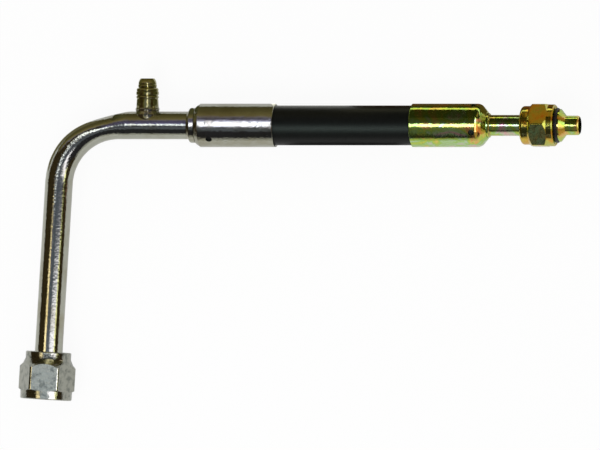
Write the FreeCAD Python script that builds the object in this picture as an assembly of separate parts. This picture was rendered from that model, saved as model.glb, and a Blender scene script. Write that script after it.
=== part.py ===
import FreeCAD, Part
import math
import os

V = FreeCAD.Vector

# Refrigerant hose assembly, in millimetres. It lies flat: +X runs along the hose towards the
# straight fitting, +Y is the way the service port points and +Z is up. The origin is the centre
# of the straight fitting's pilot where it leaves its seal flange.

# Hose, from outside to inside
hose_outer_diameter = 22.8
hose_cover_wall = 1.8
hose_braid_wall = 1.0
hose_backing_wall = 1.2
hose_barrier_wall = 0.35
hose_inner_wall = 0.75
hose_free_length = 79.95
hose_end_gap = 0.2

# Ferrules, the steel shells that hold the hose on its stems
ferrule_wall = 0.95
ferrule_hose_clearance = 0.1
ferrule_back_wall = 2.0
ferrule_stem_clearance = 0.05
ferrule_rim_round = 0.4
left_ferrule_length = 46.35
left_ferrule_back_radius = 10.8
left_ferrule_shoulder = 2.4
right_ferrule_length = 44.1
left_ferrule_shoulder_round = 0.4
right_ferrule_back_radius = 7.9
right_ferrule_shoulder = 3.8
right_ferrule_shoulder_round = 4.5
ferrule_back_round = 0.5
witness_hole_diameter = 3.6
left_witness_hole_place = 8.9
left_witness_hole_angle = 130.0
left_witness_hole_count = 2
right_witness_hole_place = 7.5
right_witness_hole_angle = 110.0
right_witness_hole_count = 4

# Stems, the nipples inside the hose
nipple_hose_clearance = 0.05
nipple_wall = 1.35
barb_depth = 0.5
barb_pitch = 7.0
barb_count = 4
barb_crest_share = 0.3
barb_ramp_share = 0.9
stem_flange_height = 1.2
stem_flange_thickness = 1.5
stem_flange_gap = 0.1
socket_end_wall = 1.0
socket_clearance = 0.03
socket_wall = 0.8
braze_leg = 0.9
braze_hollow_share = 0.35
left_collar_radius = 10.0
left_collar_length = 3.6
left_collar_round = 1.2
left_collar_gap = 0.5
left_nipple_past_mouth = 2.5
right_collar_radius = 7.1
right_collar_length = 1.0
right_collar_round = 0.4
right_collar_gap = 0.15
right_nipple_past_mouth = 2.5

# Tubes and the bend
left_tube_diameter = 15.875
left_tube_wall = 1.24
left_tube_straight = 74.55
left_leg_length = 137.2
bend_angle = 86.44
bend_radius = 35.0
bend_flattening = 2.4
bend_flattening_lead = 7.0
bend_flattening_peak = 0.28
bend_flattening_rise = 2.0
bend_widening_share = 0.4
bend_sections = 15
bend_run_outs = 2
bend_run_out_step = 1.3
right_tube_diameter = 12.0
right_tube_wall = 1.2
right_neck_length = 36.5

# Beaded tube ends that carry the O-rings
o_ring_inner_diameter = 15.6
o_ring_section = 2.3
o_ring_side_clearance = 0.15
rear_flange_radius = 10.0
rear_flange_length = 1.9
left_front_flange_radius = 9.8
left_front_flange_length = 2.0
left_cone_length = 2.0
left_pilot_diameter = 14.8
left_pilot_length = 6.0
right_front_flange_radius = 9.4
right_front_flange_length = 0.8
right_cone_length = 3.0
right_pilot_diameter = 11.2
right_pilot_length = 7.9
pilot_round = 1.3

# Swivel nuts, both with a 7/8-14 thread
thread_minor_diameter = 20.4
thread_major_diameter = 22.225
thread_pitch = 1.814
nut_running_clearance = 0.08
thread_relief_gap = 1.0
thread_runout = 0.5
nut_mouth_chamfer = 1.0
nut_back_wall = 7.0
nut_edge_break = 0.5
left_nut_across_flats = 28.575
left_nut_length = 27.3
left_nut_rear_radius = 13.0
left_nut_rear_length = 3.9
left_nut_rear_chamfer = 5.4
left_nut_rear_knee = 3.0
left_nut_front_radius = 14.8
left_nut_front_length = 4.9
left_nut_front_chamfer = 0.9
left_nut_pull_back = 0.3
left_nut_rear_round = 0.6
left_nut_turn = -4.0
left_nut_corner_round = 2.2
right_nut_across_flats = 24.0
right_nut_length = 19.75
right_nut_rear_radius = 11.1
right_nut_rear_length = 5.0
right_nut_rear_chamfer = 2.7
right_nut_rear_knee = 1.0
right_nut_front_radius = 12.0
right_nut_front_length = 3.6
right_nut_front_chamfer = 1.6
right_nut_pull_back = 10.75
right_nut_rear_round = 2.0
right_nut_turn = 27.0
right_nut_corner_round = 1.2

# Service port, which stands on the left tube
port_from_collar = 24.75
port_height = 26.9
port_base_radius = 6.4
port_base_sink = 0.5
port_waist_bottom = 10.2
port_waist_top = 14.9
port_waist_top_radius = 6.2
port_groove_radius = 5.95
port_groove_half_width = 0.25
port_low_ring_bottom = 15.45
port_low_ring_top = 17.0
port_low_ring_foot = 6.1
port_low_ring_rise = 0.35
port_land_radius = 6.5
port_land_bottom = 17.8
port_land_top = 19.1
port_land_round = 0.3
port_shoulder_bottom = 19.75
port_shoulder_bottom_radius = 6.2
port_shoulder_crest = 20.4
port_shoulder_crest_radius = 6.3
port_shoulder_top = 21.4
port_shoulder_top_radius = 5.65
port_collar_bottom = 21.9
port_collar_top = 23.3
port_collar_rise = 0.2
port_neck_radius = 5.05
port_nose_bottom = 23.6
port_nose_radius = 5.2
port_rim_radius = 3.95
port_spigot_radius = 4.0
port_spigot_clearance = 0.02
port_spigot_reach = 0.4
port_braze_foot = 0.8
port_braze_foot_top = 6.4
port_braze_waist = 0.15
port_braze_waist_top = 8.1
port_braze_bead = 0.4
port_braze_edge = 0.1
cap_thread_minor_diameter = 6.92
cap_thread_major_diameter = 8.0
cap_thread_pitch = 1.0
cap_thread_depth = 6.9
cap_thread_start = 0.8
cap_thread_runout = 0.7
cap_mouth_chamfer = 0.4

# Valve core inside the port
core_bore_radius = 2.65
core_shell_clearance = 0.02
core_shell_bottom = 8.5
core_shell_top = 18.0
core_chamber_bottom = 12.0
core_chamber_radius = 1.8
core_gasket_bottom = 9.6
core_gasket_height = 1.0
core_gasket_section = 0.55
core_pin_radius = 0.8
core_pin_clearance = 0.05
core_pin_top = 19.4
core_pin_tip_chamfer = 0.2
core_head_radius = 1.65
core_head_thickness = 0.8
core_head_gap = 0.1
core_seal_radius = 2.1
core_seal_thickness = 1.1
core_seal_gap = 0.05
core_foot_radius = 1.8
core_foot_thickness = 0.7
flow_hole_radius = 0.3
flow_hole_circle = 1.4
flow_hole_count = 3
spring_wire_diameter = 0.35
spring_mean_radius = 1.3
spring_turns = 6
spring_seat_gap = 0.02

# How far a cutting shape runs past the face that it opens
overrun = 1.0

# Sizes worked out from the ones above
hose_radius = hose_outer_diameter / 2
braid_radius = hose_radius - hose_cover_wall
backing_radius = braid_radius - hose_braid_wall
barrier_radius = backing_radius - hose_backing_wall
inner_radius = barrier_radius - hose_barrier_wall
hose_bore_radius = inner_radius - hose_inner_wall
ferrule_inner_radius = hose_radius + ferrule_hose_clearance
ferrule_outer_radius = ferrule_inner_radius + ferrule_wall
nipple_radius = hose_bore_radius - nipple_hose_clearance
nipple_bore_radius = nipple_radius - nipple_wall
left_tube_radius = left_tube_diameter / 2
left_tube_bore_radius = left_tube_radius - left_tube_wall
right_tube_radius = right_tube_diameter / 2
right_tube_bore_radius = right_tube_radius - right_tube_wall
groove_width = o_ring_section + 2 * o_ring_side_clearance
groove_radius = o_ring_inner_diameter / 2
bend_turn = math.radians(bend_angle)
bend_setback = bend_radius * math.tan(bend_turn / 2)

# Stations along X, each from its neighbour
right_seat_x = -(right_cone_length + right_front_flange_length + groove_width + rear_flange_length)
right_collar_x = right_seat_x - right_neck_length
right_ferrule_back_x = right_collar_x - right_collar_length - right_collar_gap
right_mouth_x = right_ferrule_back_x - right_ferrule_length
left_mouth_x = right_mouth_x - hose_free_length
left_ferrule_back_x = left_mouth_x - left_ferrule_length
left_collar_x = left_ferrule_back_x - left_collar_gap - left_collar_length
port_x = left_collar_x - port_from_collar
corner_x = left_collar_x - left_tube_straight
bend_start_x = corner_x + bend_setback


def turned(points):
    # A solid of revolution about X. Each item is (x, radius), or (middle, end) of an arc.
    edges = []
    here = V(points[0][0], points[0][1], 0)
    for item in points[1:] + [points[0]]:
        if isinstance(item[0], tuple):
            middle = V(item[0][0], item[0][1], 0)
            end = V(item[1][0], item[1][1], 0)
            edges.append(Part.Arc(here, middle, end).toShape())
        else:
            end = V(item[0], item[1], 0)
            if end.distanceToPoint(here) < 1e-7:
                continue
            edges.append(Part.makeLine(here, end))
        here = end
    face = Part.Face(Part.Wire(edges))
    return face.revolve(V(0, 0, 0), V(1, 0, 0), 360)


def corner_arc(corner, before, after, radius):
    # The start, middle and end of a rounding where two straight lines of an outline meet.
    point = V(corner[0], corner[1], 0)
    to_before = (V(before[0], before[1], 0) - point).normalize()
    to_after = (V(after[0], after[1], 0) - point).normalize()
    half = to_before.getAngle(to_after) / 2
    reach = radius / math.tan(half)
    start = point + to_before * reach
    end = point + to_after * reach
    bisector = (to_before + to_after).normalize()
    middle = point + bisector * (radius / math.sin(half) - radius)
    return (start.x, start.y), ((middle.x, middle.y), (end.x, end.y))


def tube_between(x_from, x_to, outer, inner):
    # A straight pipe along X.
    low = min(x_from, x_to)
    high = max(x_from, x_to)
    return turned([(low, inner), (low, outer), (high, outer), (high, inner)])


def rod(x_from, x_to, radius):
    low = min(x_from, x_to)
    high = max(x_from, x_to)
    return Part.makeCylinder(radius, high - low, V(low, 0, 0), V(1, 0, 0))


def on_leg(shape):
    # Moves a shape made along +X from the origin onto the leg, from the tube's corner outwards.
    return placed(shape, V(corner_x, 0, 0), 180 + bend_angle)


def on_port(shape):
    # Moves a shape made along +X from the origin onto the service port's axis.
    return placed(shape, V(port_x, 0, 0), 90)


def placed(shape, place, angle):
    copy = shape.copy()
    turn = FreeCAD.Rotation(V(0, 0, 1), angle)
    copy.Placement = FreeCAD.Placement(place, turn).multiply(copy.Placement)
    return copy


def mirrored(shape, x):
    # The same shape facing the other way along X, with its own zero at the given station.
    copy = shape.mirror(V(0, 0, 0), V(1, 0, 0))
    copy.translate(V(x, 0, 0))
    return copy


def shifted(shape, x):
    copy = shape.copy()
    copy.translate(V(x, 0, 0))
    return copy


def thread_grooves(x_from, x_to, minor, major, pitch):
    # Ring-shaped thread grooves to cut from a bore, from crest radius to root radius.
    count = int((x_to - x_from) / pitch)
    crest = pitch / 8
    bottom = minor - overrun
    points = [(x_from, bottom), (x_from, minor)]
    for turn in range(count):
        x = x_from + turn * pitch
        points += [(x + crest, minor), (x + pitch / 2, major), (x + pitch - crest, minor)]
    x_end = x_from + count * pitch
    points += [(x_end, minor), (x_end, bottom)]
    return turned(points)


def hose_layer(outer, inner):
    left_stop = ferrule_inside_start(left_ferrule_back_radius, left_ferrule_shoulder)
    right_stop = ferrule_inside_start(right_ferrule_back_radius, right_ferrule_shoulder)
    left = left_ferrule_back_x + max(left_stop, stem_step()) + hose_end_gap
    right = right_ferrule_back_x - max(right_stop, stem_step()) - hose_end_gap
    return tube_between(left, right, outer, inner)


def ferrule_slope(back_radius, shoulder):
    return math.atan2(ferrule_outer_radius - back_radius, shoulder)


def ferrule_inside_start(back_radius, shoulder):
    # Where a ferrule's inside reaches its full bore, an even wall away from the sloping shoulder.
    slope = ferrule_slope(back_radius, shoulder)
    inside = shoulder + ferrule_wall * (1 - math.cos(slope)) / math.sin(slope)
    return max(ferrule_back_wall, inside)


def stem_step():
    # From a ferrule's back face to the hose side of the flange inside it.
    return ferrule_back_wall + stem_flange_gap + stem_flange_thickness


def socket_depth(collar_length, gap):
    # How far a tube goes into its stem: almost through the collar and the flange.
    return collar_length + gap + stem_step() - socket_end_wall


def stem(tube_radius, tube_bore, collar_radius, collar_length, collar_round, gap, past_mouth,
         shell_length):
    # A hose stem along +X. Its collar's outer face is at zero and the hose is on the far side.
    neck = tube_radius + socket_clearance + socket_wall
    neck_start = collar_length
    flange_start = collar_length + gap + ferrule_back_wall + stem_flange_gap
    flange_end = flange_start + stem_flange_thickness
    flange = neck + stem_flange_height
    end = collar_length + gap + shell_length + past_mouth
    root = nipple_radius - barb_depth
    back = (0, collar_radius)
    round_from, round_arc = corner_arc(back, (0, 0), (collar_length, collar_radius), collar_round)
    points = [(0, nipple_bore_radius), round_from, round_arc, (neck_start, collar_radius)]
    points += [(neck_start, neck), (flange_start, neck), (flange_start, flange)]
    points += [(flange_end, flange), (flange_end, root)]
    first = end - barb_count * barb_pitch
    for barb in range(barb_count):
        x = first + barb * barb_pitch
        crest_end = x + barb_pitch * barb_crest_share
        points += [(x, root), (x, nipple_radius), (crest_end, nipple_radius)]
        points += [(x + barb_pitch * barb_ramp_share, root)]
    points += [(end, root), (end, nipple_bore_radius)]
    body = turned(points)
    socket = rod(0, socket_depth(collar_length, gap), tube_radius + socket_clearance)
    return body.cut(socket)


def ferrule(length, back_radius, shoulder, shoulder_round, neck):
    # A shell along +X. Its back face is at zero and its mouth is where the hose goes in.
    hole = neck + ferrule_stem_clearance
    outer = ferrule_outer_radius
    inner = ferrule_inner_radius
    rim = ferrule_rim_round
    back = (0, back_radius)
    corner = (shoulder, outer)
    mouth = (length, outer)
    back_from, back_arc = corner_arc(back, (0, hole), corner, ferrule_back_round)
    bend_from, bend_arc = corner_arc(corner, back, mouth, shoulder_round)
    rim_from, rim_arc = corner_arc(mouth, corner, (length, inner), rim)
    start = ferrule_inside_start(back_radius, shoulder)
    slope = ferrule_slope(back_radius, shoulder)
    entry = inner - (start - ferrule_back_wall) * math.tan(slope)
    points = [(0, hole), back_from, back_arc, bend_from, bend_arc, rim_from, rim_arc]
    points += [(length, inner), (start, inner), (ferrule_back_wall, entry)]
    points += [(ferrule_back_wall, hole)]
    return turned(points)


def with_witness_holes(shell, place, first_angle, count):
    # Small round windows through the shell, which show that the hose is pushed fully home.
    for number in range(count):
        angle = math.radians(first_angle + number * 360.0 / count)
        direction = V(0, math.cos(angle), math.sin(angle))
        drill = Part.makeCylinder(witness_hole_diameter / 2, ferrule_outer_radius + overrun,
                                  V(place, 0, 0), direction)
        shell = shell.cut(drill)
    return shell


def braze_ring(tube_radius):
    # The fillet of filler where a tube enters its stem, on the side away from the hose.
    point = tube_radius + socket_clearance
    outer = point + braze_leg
    hollow = braze_leg * braze_hollow_share
    middle = (-hollow, point + hollow)
    return turned([(0, point - socket_clearance), (0, outer), (middle, (-braze_leg, point)),
                   (-braze_leg, point - socket_clearance)])


def beaded_end(front_radius, front_flange, cone, pilot_radius, pilot_length):
    # The outside of a tube end along +X, with its rear sealing shoulder at zero.
    front_from = rear_flange_length + groove_width
    cone_from = front_from + front_flange
    cone_to = cone_from + cone
    tip = cone_to + pilot_length
    points = [(0, 0), (0, rear_flange_radius), (rear_flange_length, rear_flange_radius)]
    points += [(rear_flange_length, groove_radius), (front_from, groove_radius)]
    points += [(front_from, front_radius), (cone_from, front_radius), (cone_to, pilot_radius)]
    round_from, round_arc = corner_arc((tip, pilot_radius), (cone_to, pilot_radius), (tip, 0),
                                       pilot_round)
    points += [round_from, round_arc, (tip, 0)]
    return turned(points), tip


def o_ring():
    place = rear_flange_length + groove_width / 2
    radius = (o_ring_inner_diameter + o_ring_section) / 2
    return Part.makeTorus(radius, o_ring_section / 2, V(place, 0, 0), V(1, 0, 0))


def bend_flatness(progress):
    # How far the tube is flattened along the bend: nothing at both ends, the most at the peak.
    rise = bend_flattening_rise
    fall = rise * (1 - bend_flattening_peak) / bend_flattening_peak
    before = progress / bend_flattening_peak
    after = (1 - progress) / (1 - bend_flattening_peak)
    return bend_flattening * before ** rise * after ** fall


def bend_section(travel, radius):
    # One section of the bent tube, oval in the bend and round on the straights beside it.
    arc_length = bend_radius * bend_turn
    length = bend_flattening_lead + arc_length
    flat = bend_flatness(min(1.0, max(0.0, travel / length)))
    along = travel - bend_flattening_lead
    turn = min(bend_turn, max(0.0, along / bend_radius))
    past = max(0.0, along - arc_length)
    centre_x = bend_start_x - min(0.0, along) - bend_radius * math.sin(turn)
    centre_y = -bend_radius * (1 - math.cos(turn))
    inward = V(math.sin(turn), -math.cos(turn), 0)
    tangent = V(-math.cos(turn), -math.sin(turn), 0)
    centre = V(centre_x, centre_y, 0) + tangent * past + inward * (flat / 2)
    if flat < 1e-4:
        curve = Part.Circle(V(0, 0, 0), V(0, 0, 1), radius)
    else:
        wide = radius + flat * bend_widening_share
        curve = Part.Ellipse(V(0, 0, 0), wide, radius - flat / 2)
    wire = Part.Wire([curve.toShape()])
    frame = FreeCAD.Matrix(0, inward.x, tangent.x, centre.x,
                           0, inward.y, tangent.y, centre.y,
                           1, 0, 0, centre.z,
                           0, 0, 0, 1)
    wire.transformShape(frame)
    return wire


def bent_rod(radius, x_from, leg_to):
    # A round bar along the left tube's route, slightly oval through the bend. Round sections on
    # the straights at both ends keep the bend's surface in line with them.
    length = bend_flattening_lead + bend_radius * bend_turn
    run_out = bend_run_outs * bend_run_out_step
    wires = []
    for number in range(-bend_run_outs, 0):
        wires.append(bend_section(number * bend_run_out_step, radius))
    for number in range(bend_sections):
        wires.append(bend_section(length * number / (bend_sections - 1), radius))
    for number in range(1, bend_run_outs + 1):
        wires.append(bend_section(length + number * bend_run_out_step, radius))
    bend = Part.makeLoft(wires, True, False)
    lead = rod(bend_start_x + bend_flattening_lead + run_out, x_from, radius)
    leg = on_leg(rod(bend_setback + run_out, leg_to, radius))
    return bend.fuse([lead, leg])


def left_tube():
    end, tip = beaded_end(left_front_flange_radius, left_front_flange_length, left_cone_length,
                          left_pilot_diameter / 2, left_pilot_length)
    inside_stem = left_collar_x + socket_depth(left_collar_length, left_collar_gap)
    outside = bent_rod(left_tube_radius, inside_stem, left_leg_length)
    outside = outside.fuse(on_leg(shifted(end, left_leg_length)))
    bore_end = left_leg_length + tip + overrun
    bore = bent_rod(left_tube_bore_radius, inside_stem + overrun, bore_end)
    hole_radius = port_spigot_radius + port_spigot_clearance
    port_hole = on_port(rod(0, left_tube_radius + overrun, hole_radius))
    return outside.cut(bore).cut(port_hole).removeSplitter()


def right_tube():
    end, tip = beaded_end(right_front_flange_radius, right_front_flange_length,
                          right_cone_length, right_pilot_diameter / 2, right_pilot_length)
    inside_stem = right_collar_x - socket_depth(right_collar_length, right_collar_gap)
    outside = rod(inside_stem, right_seat_x, right_tube_radius)
    outside = outside.fuse(shifted(end, right_seat_x))
    bore = rod(inside_stem - overrun, right_seat_x + tip + overrun, right_tube_bore_radius)
    return outside.cut(bore).removeSplitter()


def swivel_nut(flats, length, rear, rear_length, rear_knee, rear_chamfer, rear_round, front,
               front_length, front_chamfer, corner_round, tube_radius, turn):
    # A nut along +X, with its back face at zero: round at both ends and six-sided between.
    corner = flats / math.sqrt(3)
    hex_from = rear_length
    hex_to = length - front_length
    edge = nut_edge_break
    round_from, round_arc = corner_arc((0, rear), (0, 0), (hex_from, rear), rear_round)
    outline = [(0, 0), round_from, round_arc, (hex_from, rear)]
    outline += [(hex_from + rear_knee, flats / 2), (hex_from + rear_chamfer, corner)]
    outline += [(hex_to - front_chamfer, corner)]
    outline += [(hex_to, front), (length - edge, front), (length, front - edge), (length, 0)]
    blank = turned(outline)
    points = []
    for number in range(6):
        angle = math.radians(turn + 60 * number)
        points.append(V(hex_from, corner * math.cos(angle), corner * math.sin(angle)))
    prism = Part.Face(Part.makePolygon(points + [points[0]])).extrude(V(hex_to - hex_from, 0, 0))
    long_edges = []
    for side in prism.Edges:
        if side.BoundBox.XLength > (hex_to - hex_from) / 2:
            long_edges.append(side)
    prism = prism.makeFillet(corner_round, long_edges)
    ends = [rod(0, hex_from, rear), rod(hex_to, length, front)]
    body = blank.common(prism.fuse(ends))
    minor = thread_minor_diameter / 2
    major = thread_major_diameter / 2
    running = tube_radius + nut_running_clearance
    bore = rod(-overrun, nut_back_wall + overrun, running)
    cavity = rod(nut_back_wall, length + overrun, minor)
    relief_from = nut_back_wall + thread_relief_gap
    relief_to = relief_from + thread_pitch
    relief = rod(relief_from, relief_to, major)
    mouth = length - nut_mouth_chamfer
    lead_in = turned([(mouth, 0), (mouth, minor), (length, major), (length, 0)])
    grooves = thread_grooves(relief_to + thread_relief_gap, length - thread_runout, minor, major,
                             thread_pitch)
    return body.cut(bore.fuse([cavity, relief, lead_in, grooves])).removeSplitter()


def left_nut():
    nut = swivel_nut(left_nut_across_flats, left_nut_length, left_nut_rear_radius,
                     left_nut_rear_length, left_nut_rear_knee, left_nut_rear_chamfer,
                     left_nut_rear_round, left_nut_front_radius, left_nut_front_length,
                     left_nut_front_chamfer, left_nut_corner_round, left_tube_radius,
                     left_nut_turn)
    return on_leg(shifted(nut, left_leg_length - left_nut_pull_back - nut_back_wall))


def right_nut():
    nut = swivel_nut(right_nut_across_flats, right_nut_length, right_nut_rear_radius,
                     right_nut_rear_length, right_nut_rear_knee, right_nut_rear_chamfer,
                     right_nut_rear_round, right_nut_front_radius, right_nut_front_length,
                     right_nut_front_chamfer, right_nut_corner_round, right_tube_radius,
                     right_nut_turn)
    return shifted(nut, right_seat_x - right_nut_pull_back - nut_back_wall)


def crest(start, end, rise):
    # The middle and end of a rounded ring that stands between two points of an outline.
    middle = ((start[0] + end[0]) / 2, max(start[1], end[1]) + rise)
    return middle, end


def port_outline():
    # The turned outside of the port, from its seat on the tube up to the rim of its mouth.
    half = port_groove_half_width
    groove = port_groove_radius
    low_ring = (port_low_ring_bottom, port_low_ring_foot)
    low_ring_end = (port_low_ring_top, port_low_ring_foot)
    land_side = port_land_radius - port_land_round
    land_from = port_land_bottom - port_land_round
    land_to = port_land_top + port_land_round
    bevel = port_land_round * (1 - math.sqrt(0.5))
    shoulder_end = (port_shoulder_top, port_shoulder_top_radius)
    collar = (port_collar_bottom, port_nose_radius)
    collar_end = (port_collar_top, port_nose_radius)
    narrowing = port_nose_radius - port_rim_radius
    rise = port_height - port_nose_bottom
    nose_arc = (rise ** 2 + narrowing ** 2) / (2 * narrowing)
    half_turn = math.asin(rise / nose_arc) / 2
    nose_middle = (port_nose_bottom + nose_arc * math.sin(half_turn),
                   port_nose_radius - nose_arc * (1 - math.cos(half_turn)))
    points = [(port_seat(), port_base_radius), (port_waist_bottom, port_base_radius)]
    points += [(port_waist_top, port_waist_top_radius), (port_waist_top + half, groove)]
    points += [low_ring, crest(low_ring, low_ring_end, port_low_ring_rise)]
    points += [(port_low_ring_top + half, groove), (land_from, land_side)]
    points += [((land_from + bevel, port_land_radius - bevel), (port_land_bottom, port_land_radius))]
    points += [(port_land_top, port_land_radius)]
    points += [((land_to - bevel, port_land_radius - bevel), (land_to, land_side))]
    points += [((land_to + port_shoulder_bottom) / 2, groove)]
    points += [(port_shoulder_bottom, port_shoulder_bottom_radius)]
    points += [((port_shoulder_crest, port_shoulder_crest_radius), shoulder_end)]
    points += [((port_shoulder_top + port_collar_bottom) / 2, port_neck_radius), collar]
    points += [crest(collar, collar_end, port_collar_rise)]
    points += [((port_collar_top + port_nose_bottom) / 2, port_neck_radius)]
    points += [(port_nose_bottom, port_nose_radius), (nose_middle, (port_height, port_rim_radius))]
    return points


def service_port_body():
    # Along +X from the tube's centre line, then stood up on the tube.
    spigot_end = left_tube_bore_radius - port_spigot_reach
    top = port_height
    mouth = cap_thread_minor_diameter / 2
    thread_root = cap_thread_major_diameter / 2
    points = [(spigot_end, 0), (spigot_end, port_spigot_radius)]
    points += [(port_seat(), port_spigot_radius)]
    body = turned(points + port_outline() + [(top, 0)])
    tube_space = Part.makeCylinder(left_tube_radius, 4 * port_base_radius,
                                   V(0, 0, 0), V(0, 1, 0))
    tube_space.translate(V(0, -2 * port_base_radius, 0))
    spigot = rod(spigot_end, left_tube_radius, port_spigot_radius)
    body = body.cut(tube_space).fuse(spigot)
    floor = top - cap_thread_depth
    bore = rod(spigot_end - overrun, floor, core_bore_radius)
    cap_hole = rod(floor, top + overrun, mouth)
    lip = top - cap_mouth_chamfer
    lead_in = turned([(lip, 0), (lip, mouth), (top, mouth + cap_mouth_chamfer), (top, 0)])
    grooves = thread_grooves(floor + cap_thread_start, top - cap_thread_runout, mouth,
                             thread_root, cap_thread_pitch)
    body = body.cut(bore.fuse([cap_hole, lead_in, grooves]))
    return on_port(body.removeSplitter())


def port_seat():
    # Below the lowest point where the port's base meets the round of the tube.
    half_height = math.sqrt(max(0.0, left_tube_radius ** 2 - port_base_radius ** 2))
    return half_height - port_base_sink


def service_port_braze():
    # Filler round the foot of the port: a fillet that meets the tube, and a rolled bead above.
    foot = port_base_radius + port_braze_foot
    waist = (port_braze_waist_top, port_base_radius + port_braze_waist)
    edge = (port_waist_bottom - port_braze_edge, port_base_radius + port_braze_edge)
    points = [(0, 0), (0, foot), (port_braze_foot_top, foot), waist]
    points += [crest(waist, edge, port_braze_bead - port_braze_waist), (edge[0], 0)]
    pad = turned(points)
    length = 4 * port_base_radius
    tube_space = Part.makeCylinder(left_tube_radius, length, V(0, -length / 2, 0), V(0, 1, 0))
    pad = pad.cut(tube_space).cut(rod(-overrun, port_waist_bottom + overrun, port_base_radius))
    return on_port(pad)


def valve_core_shell():
    outer = core_bore_radius - core_shell_clearance
    guide = core_pin_radius + core_pin_clearance
    gasket_in = outer - core_gasket_section
    gasket_to = core_gasket_bottom + core_gasket_height
    points = [(core_shell_bottom, guide), (core_shell_bottom, outer), (core_gasket_bottom, outer)]
    points += [(core_gasket_bottom, gasket_in), (gasket_to, gasket_in), (gasket_to, outer)]
    points += [(core_shell_top, outer), (core_shell_top, core_chamber_radius)]
    points += [(core_chamber_bottom, core_chamber_radius), (core_chamber_bottom, guide)]
    shell = turned(points)
    for number in range(flow_hole_count):
        angle = math.radians(number * 360.0 / flow_hole_count)
        centre = V(core_shell_bottom - overrun, flow_hole_circle * math.cos(angle),
                   flow_hole_circle * math.sin(angle))
        length = core_chamber_bottom - core_shell_bottom + 2 * overrun
        shell = shell.cut(Part.makeCylinder(flow_hole_radius, length, centre, V(1, 0, 0)))
    return on_port(shell)


def valve_core_gasket():
    outer = core_bore_radius
    inner = core_bore_radius - core_shell_clearance - core_gasket_section
    return on_port(tube_between(core_gasket_bottom, core_gasket_bottom + core_gasket_height,
                                outer, inner))


def seal_bottom():
    return core_shell_bottom - core_seal_gap - core_seal_thickness


def head_top():
    return core_shell_top - core_head_gap


def valve_core_pin():
    foot = seal_bottom() - core_foot_thickness
    head_bottom = head_top() - core_head_thickness
    points = [(foot, 0), (foot, core_foot_radius), (seal_bottom(), core_foot_radius)]
    points += [(seal_bottom(), core_pin_radius), (head_bottom, core_pin_radius)]
    points += [(head_bottom, core_head_radius), (head_top(), core_head_radius)]
    tip_from = core_pin_top - core_pin_tip_chamfer
    points += [(head_top(), core_pin_radius), (tip_from, core_pin_radius)]
    points += [(core_pin_top, core_pin_radius - core_pin_tip_chamfer), (core_pin_top, 0)]
    return on_port(turned(points))


def valve_core_seal():
    return on_port(tube_between(seal_bottom(), seal_bottom() + core_seal_thickness,
                                core_seal_radius, core_pin_radius))


def valve_core_spring():
    wire = spring_wire_diameter / 2
    bottom = core_chamber_bottom + wire + spring_seat_gap
    top = head_top() - core_head_thickness - wire - spring_seat_gap
    pitch = (top - bottom) / spring_turns
    helix = Part.makeHelix(pitch, top - bottom, spring_mean_radius)
    section = Part.Wire([Part.Circle(V(spring_mean_radius, 0, 0), V(0, 1, 0), wire).toShape()])
    spring = Part.Wire(helix.Edges).makePipeShell([section], True, True)
    spring.rotate(V(0, 0, 0), V(0, 1, 0), 90)
    spring.translate(V(bottom, 0, 0))
    return on_port(spring)


def hose_pieces():
    return {
        "hose_cover": hose_layer(hose_radius, braid_radius),
        "hose_braid": hose_layer(braid_radius, backing_radius),
        "hose_backing": hose_layer(backing_radius, barrier_radius),
        "hose_barrier": hose_layer(barrier_radius, inner_radius),
        "hose_inner_tube": hose_layer(inner_radius, hose_bore_radius),
    }


def left_fitting_pieces():
    neck = left_tube_radius + socket_clearance + socket_wall
    shell = ferrule(left_ferrule_length, left_ferrule_back_radius, left_ferrule_shoulder,
                    left_ferrule_shoulder_round, neck)
    shell = with_witness_holes(shell, left_witness_hole_place, left_witness_hole_angle,
                               left_witness_hole_count)
    nipple = stem(left_tube_radius, left_tube_bore_radius, left_collar_radius, left_collar_length,
                  left_collar_round, left_collar_gap, left_nipple_past_mouth, left_ferrule_length)
    return {
        "left_tube": left_tube(),
        "left_stem": shifted(nipple, left_collar_x),
        "left_stem_braze": shifted(braze_ring(left_tube_radius), left_collar_x),
        "left_ferrule": shifted(shell, left_ferrule_back_x),
        "left_o_ring": on_leg(shifted(o_ring(), left_leg_length)),
        "left_nut": left_nut(),
    }


def right_fitting_pieces():
    neck = right_tube_radius + socket_clearance + socket_wall
    shell = ferrule(right_ferrule_length, right_ferrule_back_radius, right_ferrule_shoulder,
                    right_ferrule_shoulder_round, neck)
    shell = with_witness_holes(shell, right_witness_hole_place, right_witness_hole_angle,
                               right_witness_hole_count)
    nipple = stem(right_tube_radius, right_tube_bore_radius, right_collar_radius,
                  right_collar_length, right_collar_round, right_collar_gap,
                  right_nipple_past_mouth, right_ferrule_length)
    return {
        "right_tube": right_tube(),
        "right_stem": mirrored(nipple, right_collar_x),
        "right_stem_braze": mirrored(braze_ring(right_tube_radius), right_collar_x),
        "right_ferrule": mirrored(shell, right_ferrule_back_x),
        "right_o_ring": shifted(o_ring(), right_seat_x),
        "right_nut": right_nut(),
    }


def port_pieces():
    return {
        "service_port_body": service_port_body(),
        "service_port_braze": service_port_braze(),
        "valve_core_shell": valve_core_shell(),
        "valve_core_gasket": valve_core_gasket(),
        "valve_core_pin": valve_core_pin(),
        "valve_core_seal": valve_core_seal(),
        "valve_core_spring": valve_core_spring(),
    }


def save_all():
    os.makedirs("parts", exist_ok=True)
    pieces = {}
    pieces.update(hose_pieces())
    pieces.update(left_fitting_pieces())
    pieces.update(right_fitting_pieces())
    pieces.update(port_pieces())
    for name, shape in pieces.items():
        shape.exportStep("parts/" + name + ".step")
        print(name, len(shape.Solids), "solid", shape.isValid(), round(shape.Volume, 1))


save_all()
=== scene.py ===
import math

import bmesh
import bpy
from mathutils import Matrix, Vector


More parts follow.
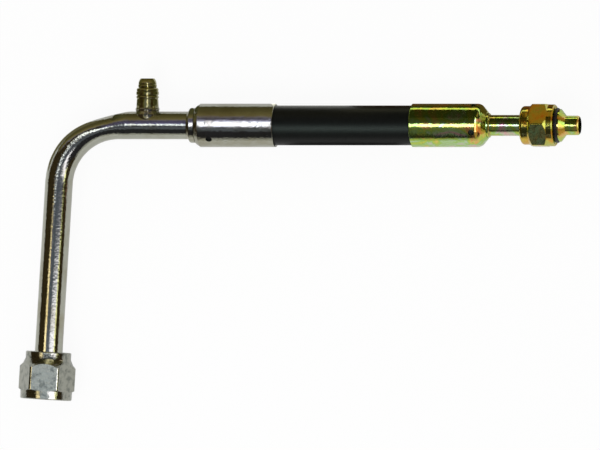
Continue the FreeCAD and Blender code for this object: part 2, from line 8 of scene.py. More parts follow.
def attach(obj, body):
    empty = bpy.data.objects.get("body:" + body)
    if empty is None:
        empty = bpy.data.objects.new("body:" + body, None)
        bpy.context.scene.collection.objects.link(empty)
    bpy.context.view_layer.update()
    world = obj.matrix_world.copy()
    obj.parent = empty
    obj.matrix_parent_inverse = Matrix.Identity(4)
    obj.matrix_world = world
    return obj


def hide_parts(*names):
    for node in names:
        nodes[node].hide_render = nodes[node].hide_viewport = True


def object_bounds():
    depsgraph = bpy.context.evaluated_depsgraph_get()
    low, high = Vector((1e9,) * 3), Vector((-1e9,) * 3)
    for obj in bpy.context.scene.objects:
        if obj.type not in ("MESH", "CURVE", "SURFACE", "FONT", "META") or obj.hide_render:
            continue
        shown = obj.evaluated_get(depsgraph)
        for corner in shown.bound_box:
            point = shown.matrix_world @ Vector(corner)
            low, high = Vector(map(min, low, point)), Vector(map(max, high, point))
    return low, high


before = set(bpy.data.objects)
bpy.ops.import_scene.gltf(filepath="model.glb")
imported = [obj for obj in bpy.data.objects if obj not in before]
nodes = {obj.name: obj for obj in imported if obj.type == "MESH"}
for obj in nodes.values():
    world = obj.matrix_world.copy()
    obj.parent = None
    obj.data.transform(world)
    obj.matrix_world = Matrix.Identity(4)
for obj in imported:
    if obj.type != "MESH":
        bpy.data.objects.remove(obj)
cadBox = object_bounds()
floorLevel = cadBox[0].z
print("frame loaded,", len(nodes), "nodes")


# Shader helpers

class Tap:
    # one output of a shader node, with plain arithmetic on it
    def __init__(self, finish, socket):
        self.finish = finish
        self.socket = socket

    def maths(self, operation, other, clamp=False):
        settings = {"operation": operation, "use_clamp": clamp}
        return self.finish.add("ShaderNodeMath", settings, {0: self, 1: other})

    def __add__(self, other):
        return self.maths("ADD", other)

    def __radd__(self, other):
        return self.maths("ADD", other)

    def __sub__(self, other):
        return self.maths("SUBTRACT", other)

    def __rsub__(self, other):
        return self.finish.add("ShaderNodeMath", {"operation": "SUBTRACT"}, {0: other, 1: self})

    def __mul__(self, other):
        return self.maths("MULTIPLY", other)

    def __rmul__(self, other):
        return self.maths("MULTIPLY", other)

    def __truediv__(self, other):
        return self.maths("DIVIDE", other)

    def sine(self):
        return self.finish.add("ShaderNodeMath", {"operation": "SINE"}, {0: self})

    def clamped(self):
        return self.maths("ADD", 0.0, clamp=True)

    def above(self, low, high):
        # 0 below low, 1 above high, smooth between
        settings = {"interpolation_type": "SMOOTHSTEP"}
        return self.finish.add("ShaderNodeMapRange", settings, {0: self, 1: low, 2: high})

    def within(self, low, high, edge):
        # 1 between low and high, fading over an edge just inside them
        return self.above(low, low + edge) * (1 - self.above(high - edge, high))


class Finish:
    # a material or world under construction
    def __init__(self, tree):
        self.tree = tree
        self.tree.nodes.clear()

    def add(self, kind, settings=None, values=None, out=0):
        # out is one output, or a tuple of them
        node = self.tree.nodes.new(kind)
        for key, value in (settings or {}).items():
            if key == "stops":
                self.fillRamp(node.color_ramp, value)
            else:
                setattr(node, key, value)
        for key, value in (values or {}).items():
            if isinstance(value, Tap):
                self.tree.links.new(value.socket, node.inputs[key])
            else:
                node.inputs[key].default_value = value
        if isinstance(out, tuple):
            return [Tap(self, node.outputs[key]) for key in out]
        return Tap(self, node.outputs[out])

    def fillRamp(self, ramp, stops):
        while len(ramp.elements) > len(stops):
            ramp.elements.remove(ramp.elements[-1])
        while len(ramp.elements) < len(stops):
            ramp.elements.new(0.5)
        for element, (place, colour) in zip(ramp.elements, stops):
            element.position = place
            element.color = (*colour, 1.0)

    def axes(self, vector):
        return self.add("ShaderNodeSeparateXYZ", {}, {0: vector}, out=("X", "Y", "Z"))

    def objectPlace(self, scale=(1, 1, 1)):
        place = self.add("ShaderNodeTexCoord", out="Object")
        return self.add("ShaderNodeMapping", {}, {"Vector": place, "Scale": scale})

    def noise(self, place, scale, detail=3.0, roughness=0.6, warp=0.0):
        values = {"Vector": place, "Scale": scale, "Detail": detail, "Roughness": roughness,
                  "Distortion": warp}
        return self.add("ShaderNodeTexNoise", {"noise_dimensions": "3D"}, values)

    def mix(self, factor, first, second):
        settings = {"data_type": "RGBA", "blend_type": "MIX", "clamp_factor": True}
        return self.add("ShaderNodeMix", settings, {0: factor, 6: first, 7: second}, out=2)

    def ramp(self, factor, stops):
        return self.add("ShaderNodeValToRGB", {"stops": stops}, {0: factor})

    def bump(self, height):
        # height is in metres
        values = {"Strength": 1.0, "Distance": 1.0, "Height": height}
        return self.add("ShaderNodeBump", {}, values)

    def glow(self, colour):
        return self.add("ShaderNodeEmission", {}, {"Color": colour, "Strength": 1.0})

    def backdrop(self, colour, strength=1.0):
        return self.add("ShaderNodeBackground", {}, {"Color": colour, "Strength": strength})

    def blend(self, factor, first, second):
        return self.add("ShaderNodeMixShader", {}, {0: factor, 1: first, 2: second})

    def surface(self, values):
        self.close(self.add("ShaderNodeBsdfPrincipled", {}, values))

    def close(self, shader, kind="ShaderNodeOutputMaterial"):
        self.add(kind, {}, {"Surface": shader}, out=())


def newMaterial(name):
    material = bpy.data.materials.new(name)
    material.use_nodes = True
    return material, Finish(material.node_tree)


dressing = {
    "weldDistance": 0.000002,
    "crispAngle": 28.0,       # degrees between faces from which an edge stays crisp
    "faceWeight": 60,
}


def dress(node, material, look):
    # gives a CAD node its material, with smooth curves and crisp edges
    piece = nodes[node]
    piece.data.materials.clear()
    piece.data.materials.append(material)
    piece.data.polygons.foreach_set("use_smooth", [True] * len(piece.data.polygons))
    weld = piece.modifiers.new("weld", "WELD")
    weld.merge_threshold = look["weldDistance"]
    split = piece.modifiers.new("edges", "EDGE_SPLIT")
    split.split_angle = math.radians(look["crispAngle"])
    even = piece.modifiers.new("even shading", "WEIGHTED_NORMAL")
    even.keep_sharp = True
    even.weight = look["faceWeight"]


# Camera: square to the part but for a small turn towards the straight fitting

cameraPlace = {
    "turn": 12.0,             # degrees from square
    "framePixels": (600, 450),
    "pixelSize": 0.0005725,   # metres across one pixel of the photograph
    "pilotPixel": (566.5, 125.4),
    "distance": 1.2,
    "clip": (0.01, 20.0),
}


def placeCamera(look):
    turn = math.radians(look["turn"])
    back = Vector((math.sin(turn), 0, math.cos(turn)))
    right = Vector((math.cos(turn), 0, -math.sin(turn)))
    up = Vector((0, 1, 0))
    size = look["pixelSize"]
    across = (look["framePixels"][0] / 2 - look["pilotPixel"][0]) * size
    down = (look["framePixels"][1] / 2 - look["pilotPixel"][1]) * size
    data = bpy.data.cameras.new("photo_camera")
    data.type = "ORTHO"
    data.ortho_scale = look["framePixels"][0] * size
    data.clip_start, data.clip_end = look["clip"]
    camera = bpy.data.objects.new("photo_camera", data)
    bpy.context.scene.collection.objects.link(camera)
    camera.location = right * across - up * down + back * look["distance"]
    camera.rotation_mode = "QUATERNION"
    camera.rotation_quaternion = Matrix((right, up, back)).transposed().to_quaternion()
    bpy.context.scene.camera = camera


placeCamera(cameraPlace)
print("camera placed")


# Floor, card and screens: flat boards of the studio

def makeBoard(name, size, middle, turns=""):
    # a flat board: size is in X and Y, before its quarter turns about the named axes
    mesh = bpy.data.meshes.new(name)
    shape = bmesh.new()
    bmesh.ops.create_grid(shape, x_segments=1, y_segments=1, size=0.5)
    bmesh.ops.scale(shape, vec=(size[0], size[1], 1), verts=shape.verts)
    for axis in turns:
        quarter = Matrix.Rotation(math.pi / 2, 3, axis)
        bmesh.ops.rotate(shape, matrix=quarter, verts=shape.verts)
    bmesh.ops.translate(shape, vec=middle, verts=shape.verts)
    shape.to_mesh(mesh)
    shape.free()
    board = bpy.data.objects.new(name, mesh)
    bpy.context.scene.collection.objects.link(board)
    return board


def paintBoard(board, material):
    # a painted board is there for reflections alone
    board.data.materials.append(material)
    for kind in ("visible_camera", "visible_diffuse", "visible_shadow", "visible_transmission"):
        setattr(board, kind, False)


floorPaper = {
    "size": 6.0,
    "middle": (-0.15, -0.07),
    "gap": 0.0002,            # metres below the part
    "colour": (0.93, 0.93, 0.92, 1.0),
    "seenWhite": 0.93,        # how much plain white covers the paper's own shading
    "mirroredWhite": 0.15,
}


def makeFloor(look, low):
    floor = makeBoard("floor", (look["size"],) * 2, (*look["middle"], low - look["gap"]))
    material, finish = newMaterial("floor_paper")
    seen, mirrored = finish.add("ShaderNodeLightPath", out=("Is Camera Ray", "Is Glossy Ray"))
    paper = finish.add("ShaderNodeBsdfDiffuse", {}, {"Color": look["colour"]})
    share = seen * look["seenWhite"] + mirrored * look["mirroredWhite"]
    finish.close(finish.blend(share, paper, finish.glow((1, 1, 1, 1))))
    floor.data.materials.append(material)


# a dark card that stands behind the part, olive to its left, with a pale and a warm mark
card = {
    "place": 0.046,
    "across": (-0.42, 0.06),
    "height": 0.075,
    "olive": [(0.00, (0.12, 0.105, 0.045)), (0.25, (0.14, 0.12, 0.045)),
              (0.42, (0.19, 0.16, 0.06)), (0.57, (0.27, 0.225, 0.09)),
              (0.74, (0.36, 0.30, 0.13)), (0.86, (0.30, 0.26, 0.22)),
              (0.95, (0.34, 0.31, 0.50))],
    "streakStretch": (0.02, 1.0, 1.0),
    "streakScale": 420.0,
    "streakBand": (0.40, 0.62),
    "streakShare": 0.35,
    "streakColour": (0.07, 0.06, 0.02, 1.0),
    "dark": (0.030, 0.030, 0.010, 1.0),
    "darkBand": (-0.145, -0.105),
    "markEdges": (0.006, 0.002),
    "marks": [
        ((-0.14, 0.03), (-0.0045, 0.0065), (1.5, 1.45, 0.9, 1.0)),
        ((-0.036, -0.008), (0.012, 0.045), (0.36, 0.22, 0.06, 1.0)),
    ],
}


def makeCard(look, low):
    across, height = look["across"], look["height"]
    middle = (sum(across) / 2, look["place"], low + height / 2)
    board = makeBoard("card", (across[1] - across[0], height), middle, turns="X")
    material, finish = newMaterial("card_paint")
    x, y, z = finish.axes(finish.add("ShaderNodeTexCoord", out="Object"))
    olive = finish.ramp((z - low) / height, look["olive"])
    streakPlace = finish.objectPlace(scale=look["streakStretch"])
    streak = finish.noise(streakPlace, look["streakScale"], roughness=0.7)
    streak = streak.above(*look["streakBand"]) * look["streakShare"]
    olive = finish.mix(streak, olive, look["streakColour"])
    paint = finish.mix(x.above(*look["darkBand"]), olive, look["dark"])
    for acrossRange, upRange, colour in look["marks"]:
        acrossEdge, upEdge = look["markEdges"]
        inside = x.within(*acrossRange, acrossEdge) * z.within(*upRange, upEdge)
        paint = finish.mix(inside, paint, colour)
    finish.close(finish.glow(paint))
    paintBoard(board, material)


# small screens beside the port and past the right end (facing X), and mats on the floor
# (facing Z): middle, size, the axis they face, and colours from low to high along Y or X
screens = {
    "portScreenRight": ((-0.222, 0.026, -0.002), (0.028, 0.026), "X", [
        (0.0, (0.08, 0.08, 0.03)), (1.0, (0.16, 0.15, 0.06))]),
    "portScreenLeft": ((-0.268, 0.026, -0.002), (0.028, 0.026), "X", [
        (0.0, (0.08, 0.08, 0.03)), (1.0, (0.16, 0.15, 0.06))]),
    "rightMat": ((-0.068, 0.029, -0.0142), (0.122, 0.032), "Z", [
        (0.0, (0.10, 0.055, 0.02)), (1.0, (0.16, 0.09, 0.03))]),
    "bendMat": ((-0.3225, 0.013, -0.0142), (0.075, 0.066), "Z", [
        (0.0, (0.26, 0.24, 0.15)), (1.0, (0.20, 0.18, 0.09))]),
    "hoseMat": ((-0.134, -0.031, -0.0142), (0.066, 0.038), "Z", [
        (0.0, (0.01, 0.012, 0.01)), (1.0, (0.01, 0.01, 0.01))]),
    "hoseTopMat": ((-0.153, 0.028, -0.0142), (0.046, 0.030), "Z", [
        (0.0, (1.6, 1.6, 1.5)), (1.0, (1.5, 1.5, 1.4))]),
    "endScreen": ((0.035, 0.03, 0.036), (0.16, 0.10), "X", [
        (0.00, (0.75, 0.42, 0.36)), (0.16, (0.60, 0.40, 0.20)), (0.25, (0.38, 0.27, 0.08)),
        (0.28, (1.8, 1.8, 1.5)), (0.36, (1.8, 1.8, 1.5)), (0.40, (0.28, 0.18, 0.05)),
        (0.60, (0.65, 0.48, 0.18)), (1.0, (0.75, 0.60, 0.28))]),
}

screenDrift = {"scale": 120.0, "share": 0.12}


def makeScreen(name, middle, size, facing, stops, drift):
    board = makeBoard(name, size, middle, turns="XZ" if facing == "X" else "")
    material, finish = newMaterial(name + "_paint")
    x, y, z = finish.axes(finish.add("ShaderNodeTexCoord", out="Object"))
    run, start = (y, middle[1]) if facing == "X" else (x, middle[0])
    along = (run - (start - size[0] / 2)) / size[0]
    waver = finish.noise(finish.objectPlace(), drift["scale"])
    paint = finish.ramp(along + (waver - 0.5) * drift["share"], stops)
    finish.close(finish.glow(paint))
    paintBoard(board, material)


# What metal reflects: grey-blue overhead, an olive wall behind, a dark room in front
# and brown walls at the sides

sky = {
    "plainStrength": 0.66,    # the even light on everything
    "room": [                 # from in front, over the top, to behind
        (0.00, (0.80, 0.80, 0.76)),
        (0.07, (0.55, 0.55, 0.51)),
        (0.12, (0.03, 0.03, 0.035)),
        (0.38, (0.035, 0.035, 0.042)),
        (0.44, (0.10, 0.10, 0.13)),
        (0.48, (0.15, 0.17, 0.23)),
        (0.545, (0.15, 0.17, 0.23)),
        (0.575, (0.07, 0.075, 0.05)),
        (0.70, (0.06, 0.055, 0.025)),
        (0.90, (0.12, 0.10, 0.03)),
        (0.97, (0.10, 0.085, 0.025)),
    ],
    "leftWall": (-0.50, -0.28),
    "rightWall": (0.60, 0.80),
    "wallColour": (0.055, 0.038, 0.014, 1.0),
}


def makeSky(look):
    world = bpy.data.worlds.new("studio")
    bpy.context.scene.world = world
    world.use_nodes = True
    finish = Finish(world.node_tree)
    across, along, up = finish.axes(finish.add("ShaderNodeTexCoord", out="Generated"))
    seen, mirrored = finish.add("ShaderNodeLightPath", out=("Is Camera Ray", "Is Glossy Ray"))
    side = along.maths("ARCTAN2", up)      # angle from overhead towards +Y
    room = finish.ramp(side / math.pi + 0.5, look["room"])
    walls = (1 - across.above(*look["leftWall"])) + across.above(*look["rightWall"])
    room = finish.mix(walls.clamped(), room, look["wallColour"])
    white = (1, 1, 1, 1)
    plain = finish.backdrop(white, look["plainStrength"])
    lit = finish.blend(mirrored, plain, finish.backdrop(room))
    finish.close(finish.blend(seen, lit, finish.backdrop(white)), "ShaderNodeOutputWorld")


# Lamps: one key lamp, and pale panels overhead that only reflections see

keyLamp = {
    "place": (-0.35, -0.45, 0.8),
    "aim": (-0.15, -0.05, 0),
    "size": (0.5, 0.5),
    "power": 2.6,
}

tubeEnd = ("left_tube", "left_stem")
leftShell = ("left_stem", "left_stem_braze", "left_ferrule")
leftFitting = ("left_tube", *leftShell)
leg = ("left_tube", "left_nut")
port = ("service_port_body",)
rightFerrule = ("right_ferrule",)
rightFitting = ("right_tube", "right_stem", "right_stem_braze", "right_ferrule", "right_o_ring")

panelHeight = 0.5

# x range, y range, brightness, pieces lit
panels = {
    "tubePanel": ((-0.40, -0.325), (-0.008, 0.085), (3.4, 3.6, 4.0), tubeEnd),
    "tubeEdgePanel": ((-0.40, -0.325), (0.085, 0.15), (0.45, 0.42, 1.0), tubeEnd),
    "tubeGlowPanel": ((-0.42, -0.30), (0.15, 0.36), (0.12, 0.10, 0.30), tubeEnd),
    "ferrulePanel": ((-0.325, -0.275), (-0.06, 0.17), (6.3, 6.4, 8.2), leftShell),
    "ferruleEdgePanel": ((-0.325, -0.275), (0.17, 0.24), (1.9, 1.9, 3.3), leftShell),
    "ferruleGlowPanel": ((-0.34, -0.26), (0.24, 0.36), (0.26, 0.24, 0.50), leftShell),
    "hosePanel": ((-0.29, -0.13), (-0.28, -0.07), (7.0, 9.0, 8.2), ("hose_cover",)),
    "rightPanel": ((-0.22, -0.08), (-0.06, 0.06), (4.2, 4.2, 5.8), rightFitting),
    "rightLowPanel": ((-0.24, -0.06), (-0.90, -0.08), (0.13, 0.13, 0.10), rightFitting),
    "shoulderPanel": ((0.00, 0.15), (-0.35, 0.45), (3.4, 3.2, 3.4), rightFerrule),
    "shoulderGlowPanel": ((0.15, 0.60), (-0.40, 0.50), (0.95, 0.66, 0.26), rightFerrule),
    "shoulderLowPanel": ((-0.06, 0.60), (-1.40, -0.35), (0.40, 0.34, 0.15), rightFerrule),
    "rightNutLowPanel": ((-0.24, -0.04), (-1.15, -0.60), (0.09, 0.13, 0.30), ("right_nut",)),
    "rightNutPanel": ((-0.131, -0.110), (-0.05, 0.045), (2.6, 2.4, 2.0), ("right_nut",)),
    "rightNutRearPanel": ((-0.160, -0.131), (-0.06, 0.20), (0.42, 0.32, 0.10), ("right_nut",)),
    "legPanel": ((-0.20, 0.28), (-0.24, -0.132), (2.6, 2.5, 2.9), ("left_tube",)),
    "legFadePanel": ((-0.20, 0.20), (-0.132, -0.100), (0.40, 0.40, 0.48), ("left_tube",)),
    "legEdgePanel": ((0.28, 0.50), (-0.30, -0.128), (2.6, 2.6, 1.3), leg),
    "goldPanel": ((-0.60, -0.47), (-0.24, -0.065), (3.2, 2.6, 1.5), leg),
    "lowPanel": ((-0.46, -0.17), (-0.30, -0.13), (0.12, 0.14, 0.17), leftFitting),
    "nutPanel": ((-0.46, -0.10), (-0.34, -0.13), (0.72, 0.80, 0.88), ("left_nut",)),
    "nutNeckPanel": ((-0.28, 0.10), (0.02, 0.40), (1.5, 1.35, 0.85), ("left_nut",)),
    "nutNeckGlowPanel": ((-0.45, 0.20), (0.40, 0.95), (0.42, 0.37, 0.18), ("left_nut",)),
    "nutCollarPanel": ((-0.42, -0.13), (-0.128, -0.108), (2.0, 2.05, 2.1), ("left_nut",)),
    "nutWhitePanel": ((-0.10, 0.28), (-0.26, -0.125), (4.4, 4.2, 4.7), ("left_nut",)),
    "portPanel": ((-0.185, -0.110), (-0.20, 0.025), (7.0, 6.6, 6.3), port),
    "portHighPanel": ((-0.185, -0.110), (0.105, 0.30), (7.0, 6.6, 6.3), port),
    "portGlowPanel": ((-0.60, 0.25), (-0.20, 0.30), (0.09, 0.085, 0.01), port),
    "portGoldPanel": ((-0.46, -0.40), (-0.06, 0.10), (0.9, 0.85, 0.3), port),
    "portSidePanel": ((0.10, 0.18), (-0.06, 0.10), (0.5, 0.48, 0.2), port),
    "bendPanel": ((-0.655, -0.335), (0.080, 0.135), (3.6, 3.7, 4.0), ("left_tube",)),
}

panelTurns = {"bendPanel": -45.0}      # degrees about its own middle


def makeLamp(name, place, size, power, colour=(1, 1, 1)):
    data = bpy.data.lights.new(name, "AREA")
    data.shape = "RECTANGLE"
    data.size, data.size_y = size
    data.energy = power
    data.color = colour
    lamp = bpy.data.objects.new(name, data)
    bpy.context.scene.collection.objects.link(lamp)
    lamp.location = place
    lamp.visible_camera = False
    return lamp


def makeKeyLamp(look):
    lamp = makeLamp("key_lamp", look["place"], look["size"], look["power"])
    lamp.rotation_mode = "QUATERNION"
    away = Vector(look["place"]) - Vector(look["aim"])
    lamp.rotation_quaternion = away.to_track_quat("Z", "Y")
    lamp.visible_glossy = False


def makePanel(name, acrossRange, alongRange, brightness, lit):
    # returns the collection of what the panel lights
    size = (acrossRange[1] - acrossRange[0], alongRange[1] - alongRange[0])
    place = (sum(acrossRange) / 2, sum(alongRange) / 2, panelHeight)
    peak = max(brightness)
    power = peak * math.pi * size[0] * size[1]
    lamp = makeLamp(name, place, size, power, [part / peak for part in brightness])
    lamp.rotation_euler[2] = math.radians(panelTurns.get(name, 0.0))
    lamp.visible_diffuse = False
    group = bpy.data.collections.new(name + "_lit")
    for node in lit:
        group.objects.link(nodes[node])
    lamp.light_linking.receiver_collection = group
    return group


makeFloor(floorPaper, floorLevel)
makeSky(sky)
makeCard(card, floorLevel)
makeKeyLamp(keyLamp)
litGroups = {name: makePanel(name, *panel) for name, panel in panels.items()}
for name, screen in screens.items():
    makeScreen(name, *screen, screenDrift)
print("floor and light made")


# Metals

# fine pits and dull grain, the same on all plate
plateGrain = {
    "scale": 1300.0,
    "pitBand": (0.28, 0.37),
    "dullBand": (0.45, 0.75),
    "dullShare": 0.08,
}

nickel = {
    "colour": (0.40, 0.405, 0.345, 1.0),
    "stain": (0.335, 0.325, 0.25, 1.0),
    "stainBand": (0.46, 0.66),
    "stainDullBand": (0.4, 0.7),
    "stainDullShare": 0.04,
    "pit": (0.20, 0.19, 0.15, 1.0),
    "pitShare": 0.7,
    "roughness": 0.075,
    "blotchScale": 55.0,
    "waveScale": 600.0,
    "waveDepth": 0.00010,
    "grainDepth": 0.000045,
}

# the nut's copy of the plate has a darker colour and stain: painted shade, so that its facets
# give a dimmer reflection of the floor
nutNickelPaintedShade = dict(
    nickel, colour=(0.32, 0.325, 0.28, 1.0), stain=(0.185, 0.195, 0.17, 1.0), pitShare=0.9,
    roughness=0.10, blotchScale=300.0, waveScale=380.0, waveDepth=0.00013, grainDepth=0.00005)

# the port's copy of the plate has an olive-yellow colour and stain: painted reflection of the
# olive card and room around it
portNickelPaintedOlive = dict(
    nickel, colour=(0.43, 0.41, 0.24, 1.0), stain=(0.31, 0.29, 0.11, 1.0), blotchScale=300.0,
    waveScale=700.0)

tubeNickel = dict(nickel, waveScale=620.0, waveDepth=0.00007, grainDepth=0.00004)

brazeNickel = dict(nickel, colour=(0.42, 0.40, 0.31, 1.0), blotchScale=260.0, waveDepth=0.00020)

zinc = {
    "stops": [
        (0.35, (0.72, 0.36, 0.12)),
        (0.41, (0.70, 0.52, 0.16)),
        (0.47, (0.52, 0.58, 0.09)),
        (0.53, (0.36, 0.56, 0.13)),
        (0.59, (0.46, 0.60, 0.36)),
        (0.66, (0.72, 0.42, 0.42)),
    ],
    "driftScale": 78.0,
    "driftWarp": 0.8,
    "pit": (0.16, 0.14, 0.05, 1.0),
    "pitShare": 0.7,
    "roughness": 0.085,
    "waveScale": 420.0,
    "waveDepth": 0.00007,
    "grainDepth": 0.00003,
}

nutZinc = dict(zinc, driftScale=110.0, waveDepth=0.00013, stops=[
    (0.34, (0.66, 0.29, 0.05)),
    (0.43, (0.62, 0.42, 0.07)),
    (0.52, (0.56, 0.49, 0.10)),
    (0.60, (0.45, 0.51, 0.11)),
    (0.68, (0.66, 0.40, 0.16)),
])


def nickelFinish(name, look):
    # bright plate over a fine-pitted, slightly rippled steel surface
    material, finish = newMaterial(name)
    place = finish.objectPlace()
    blotch = finish.noise(place, look["blotchScale"], detail=5.0)
    wave = finish.noise(place, look["waveScale"], detail=2.0, roughness=0.5)
    grain = finish.noise(place, plateGrain["scale"])
    pits = 1 - grain.above(*plateGrain["pitBand"])
    stained = finish.mix(blotch.above(*look["stainBand"]), look["colour"], look["stain"])
    dull = grain.above(*plateGrain["dullBand"]) * plateGrain["dullShare"]
    dull = dull + blotch.above(*look["stainDullBand"]) * look["stainDullShare"]
    finish.surface({
        "Base Color": finish.mix(pits * look["pitShare"], stained, look["pit"]),
        "Metallic": 1.0,
        "Roughness": dull + look["roughness"],
        "Normal": finish.bump(wave * look["waveDepth"] + grain * look["grainDepth"]),
    })
    return material


def zincFinish(name, look):
    # yellow chromate over zinc: the tint drifts through gold, green and pink
    material, finish = newMaterial(name)
    place = finish.objectPlace()
    drift = finish.noise(place, look["driftScale"], detail=4.0, warp=look["driftWarp"])
    wave = finish.noise(place, look["waveScale"], detail=2.0, roughness=0.5)
    grain = finish.noise(place, plateGrain["scale"])
    tint = finish.ramp(drift, look["stops"])
    pits = 1 - grain.above(*plateGrain["pitBand"])
    dull = grain.above(*plateGrain["dullBand"]) * plateGrain["dullShare"]
    finish.surface({
        "Base Color": finish.mix(pits * look["pitShare"], tint, look["pit"]),
        "Metallic": 1.0,
        "Roughness": dull + look["roughness"],
        "Normal": finish.bump(wave * look["waveDepth"] + grain * look["grainDepth"]),
    })
    return material


zincBraze = {
    "colour": (0.50, 0.50, 0.16, 1.0),
    "worn": (0.40, 0.33, 0.10, 1.0),
    "roughness": 0.14,
    "lineStretch": (1.0, 1.0, 1.0),
    "lineScale": 900.0,
    "lineBand": (0.35, 0.70),
    "lineDullShare": 0.15,
    "lineDepth": 0.00004,
    "cloudScale": 260.0,
    "cloudBand": (0.40, 0.65),
    "cloudDepth": 0.00009,
}

coreBrass = dict(zincBraze, colour=(0.72, 0.55, 0.24, 1.0), worn=(0.55, 0.38, 0.14, 1.0),
                 roughness=0.16, lineStretch=(1.0, 6.0, 1.0))

springSteel = dict(zincBraze, colour=(0.46, 0.45, 0.43, 1.0), worn=(0.30, 0.28, 0.25, 1.0),
                   roughness=0.20, lineStretch=(1.0, 4.0, 1.0))


def plainMetalFinish(name, look):
    # turned, drawn or melted metal with faint lines and worn clouds
    material, finish = newMaterial(name)
    linePlace = finish.objectPlace(scale=look["lineStretch"])
    lines = finish.noise(linePlace, look["lineScale"])
    cloud = finish.noise(finish.objectPlace(), look["cloudScale"], detail=4.0)
    worn = cloud.above(*look["cloudBand"])
    finish.surface({
        "Base Color": finish.mix(worn, look["colour"], look["worn"]),
        "Metallic": 1.0,
        "Roughness": lines.above(*look["lineBand"]) * look["lineDullShare"] + look["roughness"],
        "Normal": finish.bump(lines * look["lineDepth"] + cloud * look["cloudDepth"]),
    })
    return material


# Rubber, nylon and braid

coverRubber = {
    "colour": (0.0030, 0.0036, 0.0032),
    "paleness": 1.6,          # how much paler the wrap marks are
    "roughness": 0.30,
    "gloss": 0.22,
    "wrapStretch": (6.0, 1.0, 1.0),
    "wrapScale": 300.0,
    "wrapBand": (0.3, 0.7),
    "wrapDepth": 0.000035,
    "grainScale": 1400.0,
    "grainDullShare": 0.25,
    "grainDepth": 0.00002,
}

linerRubber = dict(coverRubber, colour=(0.008, 0.008, 0.008), roughness=0.50, gloss=0.18)

sealRubber = dict(coverRubber, colour=(0.006, 0.006, 0.008), roughness=0.28, gloss=0.35)

nylon = {
    "colour": (0.62, 0.58, 0.46, 1.0),
    "thick": (0.50, 0.42, 0.26, 1.0),
    "flowStretch": (0.15, 1.0, 1.0),
    "flowScale": 420.0,
    "flowBand": (0.35, 0.65),
    "flowDullShare": 0.2,
    "flowDepth": 0.00003,
    "roughness": 0.22,
}

braid = {
    "yarns": 18.0,            # round the hose, each way
    "lay": 2600.0,            # turn of the yarns along the hose, in radians per metre
    "crossBand": (-0.25, 0.25),
    "over": (0.27, 0.255, 0.215, 1.0),
    "under": (0.36, 0.34, 0.29, 1.0),
    "fibreStretch": (0.4, 1.0, 1.0),
    "fibreScale": 2600.0,
    "fibreBand": (0.35, 0.70),
    "fibreShare": 0.5,
    "fibreColour": (0.17, 0.16, 0.14, 1.0),
    "fibreDullShare": 0.25,
    "fibreDepth": 0.00002,
    "yarnDepth": 0.00008,
    "roughness": 0.62,
}


def rubberFinish(name, look):
    material, finish = newMaterial(name)
    wrap = finish.noise(finish.objectPlace(scale=look["wrapStretch"]), look["wrapScale"])
    grain = finish.noise(finish.objectPlace(), look["grainScale"], detail=2.0)
    paler = [part * look["paleness"] for part in look["colour"]]
    finish.surface({
        "Base Color": finish.mix(wrap.above(*look["wrapBand"]), (*look["colour"], 1.0),
                                 (*paler, 1.0)),
        "Specular IOR Level": look["gloss"],
        "Roughness": grain * look["grainDullShare"] + look["roughness"],
        "Normal": finish.bump(wrap * look["wrapDepth"] + grain * look["grainDepth"]),
    })
    return material


def nylonFinish(name, look):
    # milky drawn film, a little amber where it is thicker
    material, finish = newMaterial(name)
    flowPlace = finish.objectPlace(scale=look["flowStretch"])
    flow = finish.noise(flowPlace, look["flowScale"], roughness=0.5)
    finish.surface({
        "Base Color": finish.mix(flow.above(*look["flowBand"]), look["colour"], look["thick"]),
        "Roughness": flow * look["flowDullShare"] + look["roughness"],
        "Normal": finish.bump(flow * look["flowDepth"]),
    })
    return material


def braidFinish(name, look):
    # two sets of yarns that cross as they wind round the hose
    material, finish = newMaterial(name)
    x, y, z = finish.axes(finish.objectPlace())
    around = y.maths("ARCTAN2", z) * look["yarns"]
    first = (around + x * look["lay"]).sine()
    second = (around - x * look["lay"]).sine()
    over = (first * second).above(*look["crossBand"])
    yarn = first.maths("MAXIMUM", second)
    fibrePlace = finish.objectPlace(scale=look["fibreStretch"])
    fibre = finish.noise(fibrePlace, look["fibreScale"], roughness=0.7)
    shade = finish.mix(over, look["under"], look["over"])
    fibreShare = fibre.above(*look["fibreBand"]) * look["fibreShare"]
    finish.surface({
        "Base Color": finish.mix(fibreShare, shade, look["fibreColour"]),
        "Roughness": fibre * look["fibreDullShare"] + look["roughness"],
        "Normal": finish.bump(yarn * look["yarnDepth"] + fibre * look["fibreDepth"]),
    })
    return material


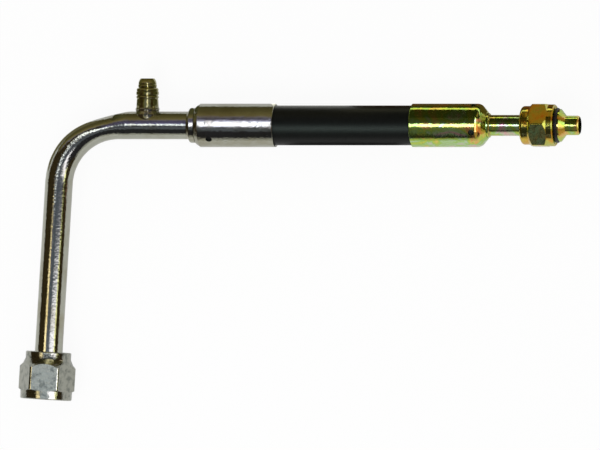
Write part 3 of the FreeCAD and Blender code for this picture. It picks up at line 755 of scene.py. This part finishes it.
finishes = {
    "left_stem left_ferrule": nickelFinish("nickel_plate", nickel),
    "left_tube": nickelFinish("tube_nickel_plate", tubeNickel),
    "left_nut": nickelFinish("nut_nickel_painted_shade", nutNickelPaintedShade),
    "service_port_body": nickelFinish("port_nickel_painted_reflection", portNickelPaintedOlive),
    "right_tube right_stem right_ferrule": zincFinish("zinc_plate", zinc),
    "right_nut": zincFinish("nut_zinc_plate", nutZinc),
    "left_stem_braze service_port_braze": nickelFinish("plated_braze", brazeNickel),
    "right_stem_braze": plainMetalFinish("zinc_braze", zincBraze),
    "hose_cover": rubberFinish("cover_rubber", coverRubber),
    "hose_backing hose_inner_tube": rubberFinish("liner_rubber", linerRubber),
    "left_o_ring right_o_ring valve_core_gasket valve_core_seal":
        rubberFinish("seal_rubber", sealRubber),
    "hose_braid": braidFinish("braid_fabric", braid),
    "hose_barrier": nylonFinish("barrier_nylon", nylon),
    "valve_core_shell valve_core_pin": plainMetalFinish("core_brass", coreBrass),
    "valve_core_spring": plainMetalFinish("spring_steel", springSteel),
}
for names, material in finishes.items():
    for node in names.split():
        dress(node, material, dressing)
print("materials given")


# Braze bead at the foot of the port: the melted filler, with its ripples

bead = {
    "mergeDistance": 0.000002,
    "levels": 2,
    "ripple": 0.00022,        # metres between the bead's hollows and crests
    "rippleSize": 0.0016,
    "rippleMiddle": 0.35,
    "rippleDetail": 1,
}


def makeBead(look):
    solid = nodes["service_port_braze"].data
    shape = bmesh.new()
    shape.from_mesh(solid)
    bmesh.ops.remove_doubles(shape, verts=shape.verts, dist=look["mergeDistance"])
    for face in shape.faces:
        face.smooth = True
    mesh = bpy.data.meshes.new("port_braze_bead")
    shape.to_mesh(mesh)
    shape.free()
    mesh.materials.append(solid.materials[0])
    piece = bpy.data.objects.new("port_braze_bead", mesh)
    bpy.context.scene.collection.objects.link(piece)
    finer = piece.modifiers.new("finer", "SUBSURF")
    finer.subdivision_type = "SIMPLE"
    finer.levels = finer.render_levels = look["levels"]
    clouds = bpy.data.textures.new("bead_ripple", "CLOUDS")
    clouds.noise_scale = look["rippleSize"]
    clouds.noise_depth = look["rippleDetail"]
    swell = piece.modifiers.new("ripple", "DISPLACE")
    swell.texture = clouds
    swell.strength = look["ripple"]
    swell.mid_level = look["rippleMiddle"]
    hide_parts("service_port_braze")
    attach(piece, "hose_and_tubes")
    return piece


portBead = makeBead(bead)
for name in ("portPanel", "portGoldPanel"):
    litGroups[name].objects.link(portBead)
print("braze bead made")

bpy.context.scene.view_settings.view_transform = "Standard"
